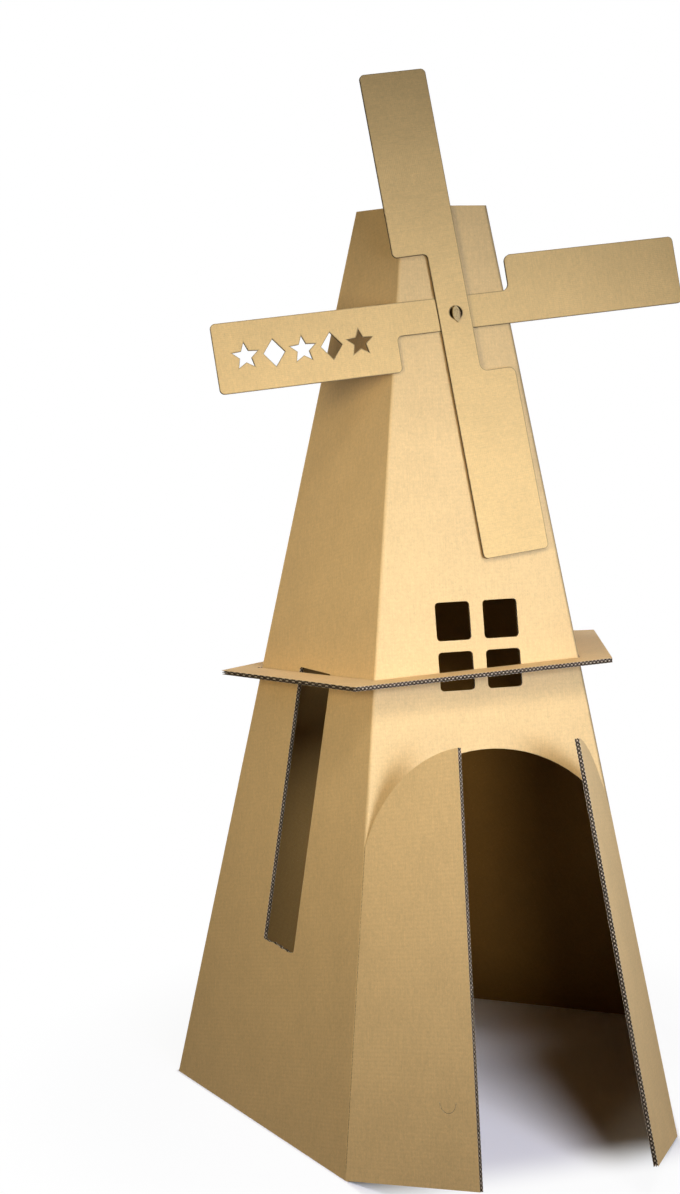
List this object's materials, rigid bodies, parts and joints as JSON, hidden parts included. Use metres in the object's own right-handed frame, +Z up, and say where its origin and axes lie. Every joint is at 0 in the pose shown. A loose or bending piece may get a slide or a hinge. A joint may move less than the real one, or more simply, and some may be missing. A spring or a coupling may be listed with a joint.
{
  "type": "cardboard windmill playhouse",
  "caption": "Child's playhouse shaped as a windmill, folded from corrugated board: a tapering five-sided tower with an arched door, a balcony ring and crossed sails that turn.",
  "frame": {"origin": "middle of the tower's five-sided foot, on the floor", "axes": "+Z up, the door and sails face -Y, +X to the right seen from the front"},
  "size_m": [0.8962, 1.0748, 1.7202],
  "materials": {
    "double_wall_board": "plain kraft liner, double-wall, cut edges showing both flute rows",
    "thin_board": "plain kraft liner, single-wall, flutes running along the bar"
  },
  "bodies": {
    "tower": {"tower": "double_wall_board", "balcony": "double_wall_board", "hub_rivet": "thin_board"},
    "sails": {"sail_bar_rear": "thin_board", "sail_bar_front": "thin_board"}
  },
  "joints": [
    {"name": "sails_turn", "type": "hinge", "parent": "tower", "child": "sails", "pos_m": [0.0025, -0.13036, 1.32617], "axis": [0, -0.9824, 0.1866], "continuous": true}
  ]
}
